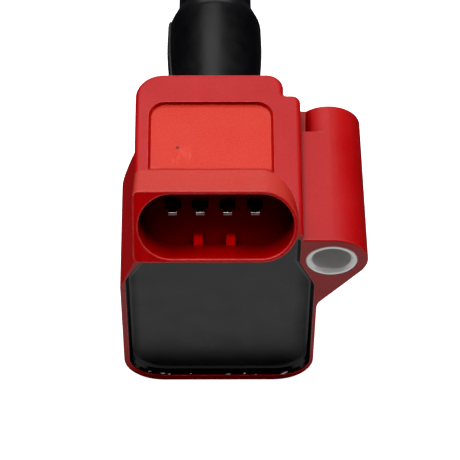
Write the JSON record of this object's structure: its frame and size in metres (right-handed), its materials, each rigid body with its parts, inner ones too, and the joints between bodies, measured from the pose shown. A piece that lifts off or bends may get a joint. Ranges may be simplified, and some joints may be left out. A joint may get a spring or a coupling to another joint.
{
  "type": "ignition coil",
  "caption": "Plug-top ignition coil: moulded head with tilted plug connector and bolt lug, resin-filled transformer, and a long rubber boot with a sprung plug contact.",
  "frame": {"origin": "on the spark plug's axis, at the mouth of the rubber boot", "axes": "+Y along the plug's axis, out of the boot's mouth; +Z the normal of the head's recessed face; +X towards the bolt lug. The coil lies on its long side, as on a bench."},
  "size_m": [0.0441, 0.148, 0.0575],
  "materials": {
    "housing": "fine satin moulded",
    "potting": "satin poured resin",
    "bushing": "zinc plated, turned ends",
    "terminal": "tin plated",
    "carrier": "moulded",
    "board": "fired substrate",
    "copper": "bare copper",
    "chip": "moulded",
    "capacitor": "fired",
    "resistor_chip": "fired",
    "core": "stacked laminations",
    "magnet": "sintered",
    "buffer": "soft pad",
    "bobbin": "moulded",
    "winding": "enamelled wire",
    "diode": "moulded",
    "pin": "turned",
    "tube": "moulded",
    "spring": "drawn wire",
    "resistor": "wire-wound rod",
    "rubber": "matt moulded rubber"
  },
  "bodies": {
    "coil": {"housing": "housing", "bolt_bushing": "bushing", "terminal_battery": "terminal", "terminal_trigger": "terminal", "terminal_logic_ground": "terminal", "terminal_power_ground": "terminal", "terminal_carrier": "carrier", "circuit_board": "board", "heat_spreader": "copper", "switching_transistor": "chip", "driver_chip": "chip", "filter_capacitor": "capacitor", "gate_resistor": "resistor_chip", "core_bar": "core", "core_magnet": "magnet", "core_buffer": "buffer", "yoke": "core", "primary_bobbin": "bobbin", "primary_winding": "winding", "secondary_bobbin": "bobbin", "secondary_winding": "winding", "primary_supply_lead": "copper", "primary_switch_lead": "copper", "secondary_ground_lead": "copper", "high_voltage_lead": "copper", "high_voltage_diode": "diode", "high_voltage_terminal": "pin", "potting_fill": "potting", "insulator_tube": "tube", "terminal_spring": "spring", "resistor_cap_upper": "pin", "suppression_resistor": "resistor", "resistor_cap_lower": "pin", "contact_spring": "spring", "rubber_boot": "rubber"},
    "contact": {"plug_contact": "pin"}
  },
  "joints": [
    {"name": "contact_travel", "type": "slide", "parent": "coil", "child": "contact", "axis": [0, -1, 0], "range_m": [0, 0.004], "stiffness_N_per_m": 400, "springref_m": -0.002, "deforming": ["contact_spring"]}
  ]
}
